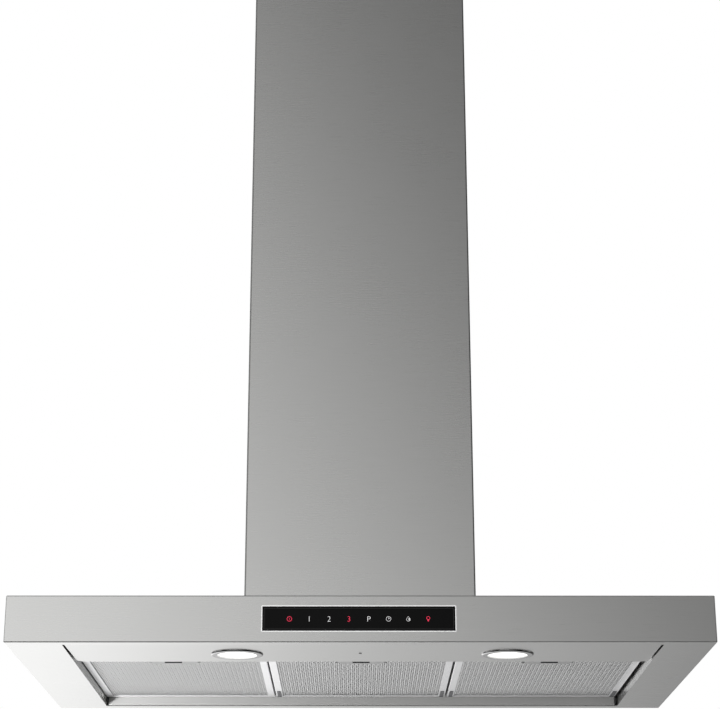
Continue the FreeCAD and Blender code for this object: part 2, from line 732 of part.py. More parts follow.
def outlet_collar(fasteners):
    """Duct spigot with its flange and the seat of the damper flaps."""
    def at(z):
        return V(0, DUCT_Y, z)

    inner = DUCT_RADIUS - DUCT_WALL
    spigot = tube(DUCT_RADIUS, inner, at(BOX_TOP), at(BOX_TOP + COLLAR_HEIGHT))
    flange = tube(DUCT_RADIUS + 14, inner, at(BOX_TOP), at(BOX_TOP + COLLAR_FLANGE))
    seat = tube(DUCT_RADIUS, 70, at(PIN_Z - 3.6), at(PIN_Z - 0.6))
    return bored(join(spigot, flange, seat), fasteners + [damper_pin()])


def damper_pin():
    """Pin across the collar that both flaps turn on."""
    return rod(PIN_RADIUS, V(-74.5, DUCT_Y, PIN_Z), V(74.5, DUCT_Y, PIN_Z))


def damper_flap(side):
    """Half disc with two knuckles on the pin; side is -1 at the front and +1 at the wall."""
    def at(x):
        return V(x, DUCT_Y, PIN_Z)

    disc = rod(FLAP_RADIUS, V(0, DUCT_Y, PIN_Z - 0.5), V(0, DUCT_Y, PIN_Z + 0.5))
    edge = KNUCKLE_RADIUS + 0.4
    kept = box(-80, 80, DUCT_Y + edge, DUCT_Y + 80, PIN_Z - 1, PIN_Z + 1)
    step = KNUCKLE_LENGTH + KNUCKLE_GAP
    starts = [-2 * step + 1, 1] if side < 0 else [-step + 1, step + 1]
    knuckles = []
    if side < 0:
        kept = box(-80, 80, DUCT_Y - 80, DUCT_Y - edge, PIN_Z - 1, PIN_Z + 1)
    for start in starts:
        end = start + KNUCKLE_LENGTH
        knuckles.append(rod(KNUCKLE_RADIUS, at(start), at(end)))
        low, high = sorted((DUCT_Y, DUCT_Y + side * (edge + 1)))
        knuckles.append(box(start, end, low, high, PIN_Z - 0.5, PIN_Z + 0.5))
    flap = join(disc.common(kept), *knuckles)
    return flap.cut(rod(PIN_RADIUS + KNUCKLE_CLEARANCE, at(-80), at(80)))


def electronics_box():
    """Case in front of the motor box, open towards the front."""
    outer = box(-CASE_HALF, CASE_HALF, CASE_FRONT, CASE_BACK, CASE_LOW, CASE_HIGH)
    hollow = box(-CASE_HALF + 2, CASE_HALF - 2, CASE_FRONT, CASE_BACK - 2, CASE_LOW + 2, CASE_HIGH - 2)
    case = outer.cut(hollow)
    stands = [rod(3, V(x, CASE_BACK - 6, z), V(x, CASE_BACK - 1, z)) for x in (-85, 85) for z in (80, 210)]
    leads = [rod(LEAD_RADIUS, V(x, LEAD_Y, CASE_LOW - 1), V(x, LEAD_Y, CASE_LOW + 3))
             for x in (CONTROL_LEAD_X, LAMP_LEAD_X)]
    gland = rod(8, V(GLAND_X, LEAD_Y, CASE_HIGH - 3), V(GLAND_X, LEAD_Y, CASE_HIGH + 1))
    return bored(join(case, *stands), leads + [gland])


def electronics_cover():
    """Lid of the electronics case, with a lip inside it."""
    plate = box(-CASE_HALF, CASE_HALF, CASE_FRONT - 2, CASE_FRONT, CASE_LOW, CASE_HIGH)
    lip = box(-CASE_HALF + 2, CASE_HALF - 2, CASE_FRONT, CASE_FRONT + 3, CASE_LOW + 2, CASE_HIGH - 2)
    hollow = box(-CASE_HALF + 4, CASE_HALF - 4, CASE_FRONT, CASE_FRONT + 4, CASE_LOW + 4, CASE_HIGH - 4)
    return join(plate, lip.cut(hollow))


def power_board():
    """Power board with its transformer, relays and terminal block."""
    back = CASE_BACK - 6
    board = box(-95, 95, back - 1.6, back, 72, 218)
    transformer = box(-80, -35, back - 24, back - 1, 90, 130)
    relays = [box(x, x + 16, back - 17, back - 1, 150, 178) for x in (-10, 12, 34)]
    terminals = box(-85, -30, back - 14, back - 1, 190, 210)
    return join(board, transformer, terminals, *relays)


def mains_gland():
    """Cable gland in the top of the electronics case."""
    def at(z):
        return V(GLAND_X, LEAD_Y, z)

    thread = rod(8, at(CASE_HIGH - 8), at(CASE_HIGH))
    nut = rod(11, at(CASE_HIGH - 7), at(CASE_HIGH - 2))
    cap = rod(10.5, at(CASE_HIGH), at(CASE_HIGH + 14))
    return join(thread, nut, cap).cut(rod(GLAND_BORE, at(CASE_HIGH - 9), at(CASE_HIGH + 15)))


def lead(points, radius):
    """Round cable along straight runs joined by tangent arcs of one radius."""
    edges = []
    start = points[0]
    for before, corner, after in zip(points, points[1:], points[2:]):
        back = (before - corner).normalize()
        ahead = (after - corner).normalize()
        half_turn = (math.pi - back.getAngle(ahead)) / 2
        inward = (back + ahead).normalize()
        entry = corner + back * (radius * math.tan(half_turn))
        leave = corner + ahead * (radius * math.tan(half_turn))
        middle = corner + inward * (radius / math.cos(half_turn) - radius)
        edges.append(Part.makeLine(start, entry))
        edges.append(Part.Arc(entry, middle, leave).toShape())
        start = leave
    edges.append(Part.makeLine(start, points[-1]))
    circle = Part.Circle(points[0], points[1] - points[0], LEAD_RADIUS)
    return Part.Wire(edges).makePipeShell([Part.Wire(circle.toShape())], True, False)


def wiring_leads():
    """Leads from the electronics case to the controls and to the lamp driver."""
    case_end = CASE_LOW
    level = 2
    driver_back = RECESS_FRONT + DRIVER_FRONT + DRIVER_WIDTH
    x = CONTROL_LEAD_X
    controls = lead([V(x, LEAD_Y, case_end), V(x, LEAD_Y, level), V(x, TRAY_BACK, level)], LEAD_BEND)
    x = LAMP_LEAD_X
    lamps = lead([V(x, LEAD_Y, case_end), V(x, LEAD_Y, level), V(x, -358, level),
                  V(x, -381, level - 14), V(x, driver_back, level - 14)], LEAD_BEND)
    return controls, lamps


def chimney_block(inset, low, high):
    """Solid block in the outline of a chimney section."""
    half = CHIMNEY_HALF - inset
    block = box(-half, half, -CHIMNEY_DEPTH + inset, WALL - inset, low, high)

    def is_front_fold(middle):
        return middle.y < -CHIMNEY_DEPTH + inset + 1 and abs(middle.z - (low + high) / 2) < 0.1

    return rounded(block, FOLD_RADIUS, is_front_fold)


def chimney_section(inset, low, high):
    """Folded sheet section: front, two sides and narrow returns along the wall."""
    half = CHIMNEY_HALF - inset - SHEET
    front = -CHIMNEY_DEPTH + inset + SHEET
    back = WALL - inset - SHEET
    section = chimney_block(inset, low, high).cut(box(-half, half, front, back, low - 1, high + 1))
    gap = CHIMNEY_HALF - inset - CHIMNEY_RETURN
    return section.cut(box(-gap, gap, back - 1, WALL + 1, low - 1, high + 1))


def chimney_lower(fasteners):
    """Visible lower section, with a foot flange that stands on the canopy."""
    section = chimney_section(0, TOP, CHIMNEY_TOP)
    half = CHIMNEY_HALF - SHEET / 2
    foot = box(-half, half, -CHIMNEY_DEPTH + SHEET / 2, WALL - SHEET / 2, TOP, TOP + SHEET)
    gap = CHIMNEY_HALF - CHIMNEY_RETURN - SHEET
    foot = foot.cut(box(-gap, gap, -CHIMNEY_DEPTH + CHIMNEY_RETURN + SHEET, WALL + 1, TOP - 1, TOP + 2))
    return bored(join(section, foot), fasteners)


def chimney_upper(fasteners):
    """Telescopic upper section with recirculation slots near its top."""
    inset = SHEET + SECTION_GAP
    section = chimney_section(inset, CHIMNEY_TOP - UPPER_LENGTH, CHIMNEY_TOP)
    slots = []
    for step in range(SLOT_COUNT):
        low = CHIMNEY_TOP - 60 - 16 * step
        slots.append(box(-CHIMNEY_HALF, CHIMNEY_HALF, -210, -110, low, low + 6))
    return bored(section, slots + fasteners)


def chimney_wall_bracket(fasteners):
    """Wall plate with two stepped arms that the upper section is screwed to."""
    low = BRACKET_Z
    high = BRACKET_Z + BRACKET_HEIGHT
    inside = CHIMNEY_HALF - 2 * SHEET - SECTION_GAP
    plate = box(-142, 142, WALL - 1.5, WALL, low, high)
    arm = join(box(140.5, 142, -30, WALL, low, high), box(140.5, inside, -31.5, -30, low, high),
               box(inside - 1.5, inside, -55, -30, low, high))
    hole = rod(3, V(100, -5, low + 11), V(100, 5, low + 11))
    return bored(join(plate, *both_sides(arm)), both_sides(hole) + fasteners)


def chimney_bracket_screws():
    """Flat-headed screws through the upper section's sides."""
    face = CHIMNEY_HALF - SHEET - SECTION_GAP
    z = BRACKET_Z + BRACKET_HEIGHT / 2
    head = rod(3.4, V(face, -43, z), V(face + 0.5, -43, z))
    shank = rod(SCREW_RADIUS, V(face - 8, -43, z), V(face, -43, z))
    return both_sides(join(head, shank))


def build_canopy(fasteners):
    """The canopy's fixed pieces."""
    save("canopy_shell", canopy_shell(fasteners))
    save("canopy_back_panel", canopy_back_panel())
    save("rear_filter_rail", rear_filter_rail())
    save("light_panel", light_panel())
    save("light_panel_screw", panel_screw())
    for side, x in LAMP_X.items():
        save("lamp_" + side + "_bezel", lamp_bezel(x))
        save("lamp_" + side + "_lens", lamp_lens(x))
        save("lamp_" + side + "_housing", lamp_housing(x))
    save("lamp_driver", lamp_driver())
    save("control_frame", control_frame())
    save("control_glass", control_glass())
    save("control_board", control_board())
    save("touch_contacts", *touch_contacts())
    save("control_tray", control_tray())


def build_filters():
    """The three filters with their latches."""
    for side, x in FILTER_X.items():
        name = "filter_" + side
        save(name + "_frame", filter_frame(x))
        save(name + "_mesh", *filter_mesh(x))
        save(name + "_escutcheon", filter_escutcheon(x))
        save(name + "_latch", filter_latch(x))
        save(name + "_springs", *filter_springs(x))
        if side in PADDED_FILTERS:
            save(name + "_pads", *filter_pads(x))
    save("filter_keepers", *filter_keepers())


def build_blower(fasteners):
    """Motor box, blower, collar and damper."""
    save("motor_box", motor_box(fasteners))
    save("blower_housing", blower_housing(fasteners))
    save("inlet_rings", *inlet_rings(fasteners))
    save("fan_wheel", fan_wheel())
    save("motor_shaft", motor_shaft())
    save("motor_body", motor_body())
    save("motor_bracket", motor_bracket(fasteners))
    save("motor_grommets", *motor_grommets())
    save("capacitor", capacitor())
    save("outlet_collar", outlet_collar(fasteners))
    save("damper_pin", damper_pin())
    save("damper_flap_front", damper_flap(-1))
    save("damper_flap_rear", damper_flap(1))


def build_electrics():
    """Electronics case, its contents and the leads."""
    save("electronics_box", electronics_box())
    save("electronics_cover", electronics_cover())
    save("power_board", power_board())
    save("mains_gland", mains_gland())
    save("wiring_leads", *wiring_leads())


def build_chimney(fasteners):
    """Both chimney sections and the wall bracket."""
    bracket_fasteners = chimney_bracket_screws()
    save("chimney_lower", chimney_lower(fasteners))
    save("chimney_upper", chimney_upper(bracket_fasteners))
    save("chimney_wall_bracket", chimney_wall_bracket(bracket_fasteners))
    save("chimney_bracket_screws", *bracket_fasteners)


os.makedirs("parts", exist_ok=True)
screws = canopy_screws() + collar_screws() + bracket_screws()
build_canopy(screws)
build_filters()
build_blower(screws)
build_electrics()
build_chimney(screws)
save("assembly_screws", *screws)
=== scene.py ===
# %% [markdown]
# # A chimney range hood in brushed steel
# The hood hangs on a wall and is seen from in front and a little below. Its shapes come from
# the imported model, so this script gives it a camera, a studio, its finishes, and the few pieces
# that are easier to model here: the expanded mesh of the filters and the signs on the glass.

# %% Load the frame
import json
import math
import bmesh
import bpy
from mathutils import Matrix, Vector


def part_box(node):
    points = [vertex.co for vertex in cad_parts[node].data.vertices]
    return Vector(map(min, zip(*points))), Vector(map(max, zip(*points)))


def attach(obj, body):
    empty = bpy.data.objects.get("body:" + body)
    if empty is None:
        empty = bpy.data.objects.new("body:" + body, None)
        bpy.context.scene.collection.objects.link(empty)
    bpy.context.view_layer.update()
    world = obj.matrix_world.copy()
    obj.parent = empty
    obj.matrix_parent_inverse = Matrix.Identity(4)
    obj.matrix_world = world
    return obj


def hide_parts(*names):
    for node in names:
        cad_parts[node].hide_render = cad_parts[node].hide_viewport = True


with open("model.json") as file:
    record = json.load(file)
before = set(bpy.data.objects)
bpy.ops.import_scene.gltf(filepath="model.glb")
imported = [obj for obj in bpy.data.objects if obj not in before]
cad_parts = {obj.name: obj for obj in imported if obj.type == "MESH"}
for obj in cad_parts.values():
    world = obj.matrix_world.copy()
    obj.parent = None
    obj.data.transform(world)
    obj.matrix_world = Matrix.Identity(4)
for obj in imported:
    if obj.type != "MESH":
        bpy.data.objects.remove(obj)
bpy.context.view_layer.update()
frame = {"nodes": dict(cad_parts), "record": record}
nodes = frame["nodes"]
MM = 0.001

# %% [markdown]
# ## The camera
# The picture was taken from about 2.4 m in front and half a metre under the canopy. A shift lens
# would keep the chimney's sides upright, but it would push the hood out of every other view, so
# the camera is tilted up instead and the shift only centres the picture.

# %% Place the camera
CAMERA_PLACE = (-0.0056, -2.900, -0.505)
CAMERA_TILT = 19.71
CAMERA_LENS = 96.4
CAMERA_SHIFT = 0.0056

camera_data = bpy.data.cameras.new("camera")
camera_data.lens = CAMERA_LENS
camera_data.sensor_width = 36
camera_data.shift_x = CAMERA_SHIFT
camera = bpy.data.objects.new("camera", camera_data)
camera.location = CAMERA_PLACE
camera.rotation_euler = (math.radians(90 + CAMERA_TILT), 0, 0)
bpy.context.scene.collection.objects.link(camera)
bpy.context.scene.camera = camera
bpy.context.scene.view_settings.view_transform = "Standard"
print("camera", [round(v, 3) for v in camera.location], "tilted up by", CAMERA_TILT, "degrees")

# %% [markdown]
# ## The studio
# Bare steel shows what stands round it, so a photographer builds its picture from white paper and
# black flags. A world colour alone would make it flat, and many small lamps would show as spots.
# Here one large paper dome does both jobs, and a simple world and three soft lamps do the rest. The
# dome is seen only in reflections.

# %% Helpers for nodes and meshes
def new_material(name):
    """An empty material with its output node."""
    material = bpy.data.materials.new(name)
    material.use_nodes = True
    material.node_tree.nodes.clear()
    output = material.node_tree.nodes.new("ShaderNodeOutputMaterial")
    return material, material.node_tree, output


def add(tree, kind, **values):
    """A node with its options and its sockets' values set by name."""
    node = tree.nodes.new(kind)
    for key, value in values.items():
        if hasattr(node, key) and key not in node.inputs:
            setattr(node, key, value)
        else:
            node.inputs[key].default_value = value
    return node


def finish_mesh(work, name):
    """Write a bmesh to a new object and free it."""
    mesh = bpy.data.meshes.new(name)
    work.to_mesh(mesh)
    work.free()
    piece = bpy.data.objects.new(name, mesh)
    bpy.context.scene.collection.objects.link(piece)
    return piece


# %% [markdown]
# The world has two levels, told apart by the kind of ray. What the camera, metal and glass see is
# plain white, and what lights the pieces is softer, so that they keep their own colours.

# %% The world
AMBIENT = 0.55

world = bpy.data.worlds.new("studio")
world.use_nodes = True
bpy.context.scene.world = world
tree = world.node_tree
tree.nodes.clear()
output = tree.nodes.new("ShaderNodeOutputWorld")
path = tree.nodes.new("ShaderNodeLightPath")
seen = add(tree, "ShaderNodeMath", operation="MAXIMUM")
tree.links.new(path.outputs["Is Camera Ray"], seen.inputs[0])
tree.links.new(path.outputs["Is Glossy Ray"], seen.inputs[1])
through = add(tree, "ShaderNodeMath", operation="MAXIMUM")
tree.links.new(seen.outputs[0], through.inputs[0])
tree.links.new(path.outputs["Is Transmission Ray"], through.inputs[1])
soft = add(tree, "ShaderNodeBackground", Color=(1, 1, 1, 1), Strength=AMBIENT)
white = add(tree, "ShaderNodeBackground", Color=(1, 1, 1, 1), Strength=1.0)
choice = tree.nodes.new("ShaderNodeMixShader")
tree.links.new(through.outputs[0], choice.inputs[0])
tree.links.new(soft.outputs[0], choice.inputs[1])
tree.links.new(white.outputs[0], choice.inputs[2])
tree.links.new(choice.outputs[0], output.inputs["Surface"])

# %% [markdown]
# ### The paper dome
# Its greys run along one line, from light at the left to dark at the upper right. The front and the
# chimney mirror the half that stands in front of the hood, and the underside mirrors the half
# behind it, so each half has its own run of greys, with a soft change between them. Dark bands stand
# at both sides and a dark cooker low in front, and the rounded folds of the sheet catch them as thin
# lines. Along the chimney's sharp folds that line is painted reflection, drawn by a mask in the steel.
# Each run is a list of stops: a place from 0 to 1, and how light the paper is there.

# %% Greys of the dome
DOME_RADIUS = 9.0
DOME_LIGHT = 1.60
SHADE_AXIS = Vector((0.855, 0.087, 0.513)).normalized()
FRONT_SHADE = ((0.430, 0.77), (0.467, 0.52), (0.480, 0.47), (0.500, 0.475), (0.545, 0.323),
               (0.600, 0.150), (0.630, 0.09), (0.750, 0.09), (0.875, 0.38))
REAR_SHADE = ((0.400, 0.88), (0.422, 0.79), (0.430, 0.70), (0.458, 0.445), (0.480, 0.37),
              (0.506, 0.315), (0.534, 0.292), (0.567, 0.265), (0.630, 0.09), (0.750, 0.09), (0.875, 0.38))
BEHIND_SHARE = ((0.3, 0.0), (0.7, 1.0))
SIDE_BANDS = ((0.55, 1.0), (0.66, 0.12), (0.86, 0.12), (0.96, 0.8))
NEAR_SHARE = ((0.15, 1.0), (0.45, 0.0))
COOKER_SHADE = ((0.0, 1.0), (0.08, 1.0), (0.25, 0.05))


def ramp(tree, source, stops):
    """Value that follows another one along straight lines between stops."""
    node = tree.nodes.new("ShaderNodeValToRGB")
    marks = node.color_ramp.elements
    marks[0].position, marks[1].position = stops[0][0], stops[-1][0]
    for position, _ in stops[1:-1]:
        marks.new(position)
    for mark, (_, value) in zip(marks, stops):
        mark.color = (value, value, value, 1)
    tree.links.new(source, node.inputs["Fac"])
    return node.outputs["Color"]


def multiply(tree, first, second):
    """Product of two values."""
    node = add(tree, "ShaderNodeMath", operation="MULTIPLY")
    tree.links.new(first, node.inputs[0])
    tree.links.new(second, node.inputs[1])
    return node.outputs[0]


# %% Paint and build the dome
def dome_paint():
    """Glowing paper with the greys of both halves, the bands at the sides and the cooker."""
    material, tree, output = new_material("dome_paint")
    place = tree.nodes.new("ShaderNodeTexCoord")
    unit = add(tree, "ShaderNodeVectorMath", operation="NORMALIZE")
    tree.links.new(place.outputs["Object"], unit.inputs[0])
    parts = tree.nodes.new("ShaderNodeSeparateXYZ")
    tree.links.new(unit.outputs[0], parts.inputs[0])
    along = add(tree, "ShaderNodeVectorMath", operation="DOT_PRODUCT")
    along.inputs[1].default_value = SHADE_AXIS
    tree.links.new(unit.outputs[0], along.inputs[0])
    half = add(tree, "ShaderNodeMath", operation="MULTIPLY_ADD")
    half.inputs[1].default_value = 0.5
    half.inputs[2].default_value = 0.5
    tree.links.new(along.outputs["Value"], half.inputs[0])
    shade = tree.nodes.new("ShaderNodeMix")
    tree.links.new(ramp(tree, half.outputs[0], FRONT_SHADE), shade.inputs["A"])
    tree.links.new(ramp(tree, half.outputs[0], REAR_SHADE), shade.inputs["B"])
    tree.links.new(ramp(tree, parts.outputs["Y"], BEHIND_SHARE), shade.inputs["Factor"])
    aside = add(tree, "ShaderNodeMath", operation="ABSOLUTE")
    tree.links.new(parts.outputs["X"], aside.inputs[0])
    bands = ramp(tree, aside.outputs[0], SIDE_BANDS)
    under = add(tree, "ShaderNodeMath", operation="MULTIPLY")
    under.inputs[1].default_value = -1.0
    tree.links.new(parts.outputs["Z"], under.inputs[0])
    near = ramp(tree, parts.outputs["Y"], NEAR_SHARE)
    depth = multiply(tree, under.outputs[0], near)
    cooker = ramp(tree, depth, COOKER_SHADE)
    lit = multiply(tree, multiply(tree, shade.outputs["Result"], bands), cooker)
    paint = add(tree, "ShaderNodeEmission", Strength=DOME_LIGHT)
    tree.links.new(lit, paint.inputs["Color"])
    tree.links.new(paint.outputs[0], output.inputs["Surface"])
    return material


work = bmesh.new()
bmesh.ops.create_uvsphere(work, u_segments=48, v_segments=24, radius=DOME_RADIUS)
dome = finish_mesh(work, "dome")
dome.data.materials.append(dome_paint())
for ray in ("camera", "diffuse", "transmission", "volume_scatter", "shadow"):
    setattr(dome, "visible_" + ray, False)
print("dome", round(2 * DOME_RADIUS, 1), "m wide")

# %% [markdown]
# ### The floor
# It is pale and far below, where a kitchen floor would be. Seen from under it, it is clear, so that
# it never hides the hood.

# %% The floor
FLOOR_HEIGHT = -1.6
FLOOR_RADIUS = 14.0

work = bmesh.new()
bmesh.ops.create_circle(work, cap_ends=True, segments=64, radius=FLOOR_RADIUS)
bmesh.ops.translate(work, verts=work.verts, vec=(0, 0, FLOOR_HEIGHT))
floor = finish_mesh(work, "floor")
material, tree, output = new_material("floor_paint")
side = tree.nodes.new("ShaderNodeNewGeometry")
paint = add(tree, "ShaderNodeBsdfDiffuse", Color=(0.86, 0.86, 0.85, 1))
clear = tree.nodes.new("ShaderNodeBsdfTransparent")
choice = tree.nodes.new("ShaderNodeMixShader")
tree.links.new(side.outputs["Backfacing"], choice.inputs[0])
tree.links.new(paint.outputs[0], choice.inputs[1])
tree.links.new(clear.outputs[0], choice.inputs[2])
tree.links.new(choice.outputs[0], output.inputs["Surface"])
floor.data.materials.append(material)
floor.visible_glossy = False

# %% [markdown]
# ## The lamps of the studio
# Two large soft boxes light what isn't metal, and a small one under the canopy reaches the rear wall
# of the recess. The steel doesn't mirror them, because the dome already gives it all that it shows.

# %% Soft boxes
def soft_box(name, place, target, width, height, power):
    """Rectangular lamp that faces a point."""
    data = bpy.data.lights.new(name, "AREA")
    data.shape = "RECTANGLE"
    data.size = width
    data.size_y = height
    data.energy = power
    lamp = bpy.data.objects.new(name, data)
    lamp.location = place
    lamp.rotation_euler = (Vector(target) - Vector(place)).to_track_quat("-Z", "Y").to_euler()
    lamp.visible_glossy = False
    lamp.visible_camera = False
    bpy.context.scene.collection.objects.link(lamp)


soft_box("front_left_box", (-3.4, -5.2, 0.4), (0, -0.3, 0.2), width=3.0, height=3.0, power=150)
soft_box("low_left_box", (-2.0, -2.4, -1.5), (0, -0.3, 0.0), width=2.0, height=2.0, power=25)
soft_box("recess_box", (-0.60, -0.36, -0.20), (-0.15, -0.02, -0.02), width=0.15, height=0.06, power=6)

# %% [markdown]
# ## Finishes
# Effects that several finishes share are node groups, built once: the brushed grain of rolled
# sheet, and soft smudges that change how dull a surface is. A picture of brushed steel would do as
# well, but it would have to be laid out on each sheet, and these patterns work anywhere.

# %% Helper for node groups
def new_group(name, inputs, outputs):
    """A node group with named float inputs and typed outputs."""
    group = bpy.data.node_groups.new(name, "ShaderNodeTree")
    for label, value in inputs.items():
        socket = group.interface.new_socket(name=label, in_out="INPUT", socket_type="NodeSocketFloat")
        socket.default_value = value
    for label, kind in outputs.items():
        group.interface.new_socket(name=label, in_out="OUTPUT", socket_type="NodeSocket" + kind)
    return group, group.nodes.new("NodeGroupInput"), group.nodes.new("NodeGroupOutput")


def use_group(tree, group, **values):
    """Place a group in a material with its own values."""
    node = tree.nodes.new("ShaderNodeGroup")
    node.node_tree = group
    for key, value in values.items():
        node.inputs[key].default_value = value
    return node


# %% [markdown]
# ### Brushed grain
# Sheet is brushed in one direction, which leaves long fine scratches. A noise that is stretched far
# more along than across looks like them. The group tells flat sheets from upright ones by their
# normal, because the scratches of both run from left to right.

# %% Brushed grain
FLAT_FROM = 0.7


def brushed_grain_group():
    """Long fine scratches: level with the floor on upright sheets, left to right on flat ones."""
    group, given, made = new_group(
        "brushed grain",
        {"Along": 6.0, "Across": 1500.0, "Contrast": 0.1, "Dullness": 0.3, "Spread": 0.1},
        {"Shade": "Float", "Roughness": "Float", "Height": "Float"})
    links = group.links
    place = group.nodes.new("ShaderNodeTexCoord")
    parts = group.nodes.new("ShaderNodeSeparateXYZ")
    links.new(place.outputs["Object"], parts.inputs[0])
    facing = group.nodes.new("ShaderNodeSeparateXYZ")
    links.new(place.outputs["Normal"], facing.inputs[0])
    flat = add(group, "ShaderNodeMath", operation="ABSOLUTE")
    links.new(facing.outputs["Z"], flat.inputs[0])
    is_flat = add(group, "ShaderNodeMath", operation="GREATER_THAN")
    is_flat.inputs[1].default_value = FLAT_FROM
    links.new(flat.outputs[0], is_flat.inputs[0])
    pitch = add(group, "ShaderNodeMix", data_type="FLOAT")
    links.new(is_flat.outputs[0], pitch.inputs["Factor"])
    links.new(given.outputs["Along"], pitch.inputs["A"])
    links.new(given.outputs["Across"], pitch.inputs["B"])
    scaled = []
    for axis, factor in (("X", given.outputs["Along"]), ("Y", pitch.outputs["Result"]),
                         ("Z", given.outputs["Across"])):
        times = add(group, "ShaderNodeMath", operation="MULTIPLY")
        links.new(parts.outputs[axis], times.inputs[0])
        links.new(factor, times.inputs[1])
        scaled.append(times)
    joined = group.nodes.new("ShaderNodeCombineXYZ")
    for axis, times in zip("XYZ", scaled):
        links.new(times.outputs[0], joined.inputs[axis])
    streaks = add(group, "ShaderNodeTexNoise", Scale=1.0, Detail=3.0, Roughness=0.6)
    links.new(joined.outputs[0], streaks.inputs["Vector"])
    centred = add(group, "ShaderNodeMath", operation="SUBTRACT")
    centred.inputs[1].default_value = 0.5
    links.new(streaks.outputs["Fac"], centred.inputs[0])
    shade = add(group, "ShaderNodeMath", operation="MULTIPLY_ADD")
    links.new(centred.outputs[0], shade.inputs[0])
    links.new(given.outputs["Contrast"], shade.inputs[1])
    shade.inputs[2].default_value = 1.0
    links.new(shade.outputs[0], made.inputs["Shade"])
    dull = add(group, "ShaderNodeMath", operation="MULTIPLY_ADD")
    links.new(centred.outputs[0], dull.inputs[0])
    links.new(given.outputs["Spread"], dull.inputs[1])
    links.new(given.outputs["Dullness"], dull.inputs[2])
    links.new(dull.outputs[0], made.inputs["Roughness"])
    links.new(streaks.outputs["Fac"], made.inputs["Height"])
    return group


BRUSHED_GRAIN = brushed_grain_group()


# %% Smudges and mottle
def smudge_group():
    """Large soft patches, for handling marks on metal and uneven gloss on plastic."""
    group, given, made = new_group("smudges", {"Size": 4.0, "Strength": 0.05}, {"Change": "Float"})
    place = group.nodes.new("ShaderNodeTexCoord")
    patches = add(group, "ShaderNodeTexNoise", Detail=4.0, Roughness=0.55)
    group.links.new(place.outputs["Object"], patches.inputs["Vector"])
    group.links.new(given.outputs["Size"], patches.inputs["Scale"])
    centred = add(group, "ShaderNodeMath", operation="SUBTRACT")
    centred.inputs[1].default_value = 0.5
    group.links.new(patches.outputs["Fac"], centred.inputs[0])
    change = add(group, "ShaderNodeMath", operation="MULTIPLY")
    group.links.new(centred.outputs[0], change.inputs[0])
    group.links.new(given.outputs["Strength"], change.inputs[1])
    group.links.new(change.outputs[0], made.inputs["Change"])
    return group


SMUDGES = smudge_group()


# %% [markdown]
# ### Brushed sheet
# The sheet of the chimney is bent along its upright edges, and a rounded fold there would mirror the
# dark side bands of the dome as a thin dark line. In the model the fold is a sharp edge, which
# mirrors nothing of its own. Rounding it would change the imported shape, so that dark line is
# painted reflection: a mask in the material darkens the steel's colour along the fold, and the mask
# is measured from the frame.

# %% Brushed sheet
RELIEF_DEPTH = 0.2 * MM
# Painted reflection: near the chimney's upright folds the steel's colour is darkened to FOLD_SHADE.
FOLD_REACH = 2.2 * MM
FOLD_SHADE = 0.42
FOLD_START = 0.5 * MM


def painted_fold_reflection(tree):
    """Painted reflection: mask that is low along the chimney's upright folds."""
    low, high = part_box("chimney_lower")
    canopy_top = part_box("canopy_shell")[1][2]
    place = tree.nodes.new("ShaderNodeTexCoord")
    parts = tree.nodes.new("ShaderNodeSeparateXYZ")
    tree.links.new(place.outputs["Object"], parts.inputs[0])
    aside = add(tree, "ShaderNodeMath", operation="ABSOLUTE")
    tree.links.new(parts.outputs["X"], aside.inputs[0])
    chosen = None
    for source, operation, limit in ((aside.outputs[0], "GREATER_THAN", high[0] - FOLD_REACH),
                                     (parts.outputs["Y"], "LESS_THAN", low[1] + FOLD_REACH),
                                     (parts.outputs["Z"], "GREATER_THAN", canopy_top + FOLD_START)):
        test = add(tree, "ShaderNodeMath", operation=operation)
        test.inputs[1].default_value = limit
        tree.links.new(source, test.inputs[0])
        chosen = multiply(tree, chosen, test.outputs[0]) if chosen else test.outputs[0]
    mask = add(tree, "ShaderNodeMath", operation="MULTIPLY_ADD")
    mask.inputs[1].default_value = FOLD_SHADE - 1
    mask.inputs[2].default_value = 1.0
    tree.links.new(chosen, mask.inputs[0])
    return mask.outputs[0]


def brushed_metal(name, colour, along, across, contrast, dullness, spread, bump, smudge, folds=False,
                  metallic=1.0):
    """Metal with long scratches, whose gloss also changes in soft patches."""
    material, tree, output = new_material(name)
    shader = add(tree, "ShaderNodeBsdfPrincipled", Metallic=metallic)
    grain = use_group(tree, BRUSHED_GRAIN, Along=along, Across=across, Contrast=contrast,
                      Dullness=dullness, Spread=spread)
    patches = use_group(tree, SMUDGES, Size=5.0, Strength=smudge)
    tint = add(tree, "ShaderNodeVectorMath", operation="SCALE")
    tint.inputs[0].default_value = colour
    shade = grain.outputs["Shade"]
    # The chimney's folds get a painted reflection, a thin dark line in the steel's colour.
    if folds:
        shade = multiply(tree, shade, painted_fold_reflection(tree))
    tree.links.new(shade, tint.inputs["Scale"])
    tree.links.new(tint.outputs[0], shader.inputs["Base Color"])
    dull = add(tree, "ShaderNodeMath", operation="ADD")
    tree.links.new(grain.outputs["Roughness"], dull.inputs[0])
    tree.links.new(patches.outputs["Change"], dull.inputs[1])
    tree.links.new(dull.outputs[0], shader.inputs["Roughness"])
    relief = add(tree, "ShaderNodeBump", Strength=bump, Distance=RELIEF_DEPTH)
    tree.links.new(grain.outputs["Height"], relief.inputs["Height"])
    tree.links.new(relief.outputs[0], shader.inputs["Normal"])
    tree.links.new(shader.outputs[0], output.inputs["Surface"])
    return material


# %% [markdown]
# ### Plain finishes
# Everything else is moulded, cast, plated or zinc-coated. One material serves them all: a fine
# noise gives specks and a little relief, and the smudges break up the gloss.

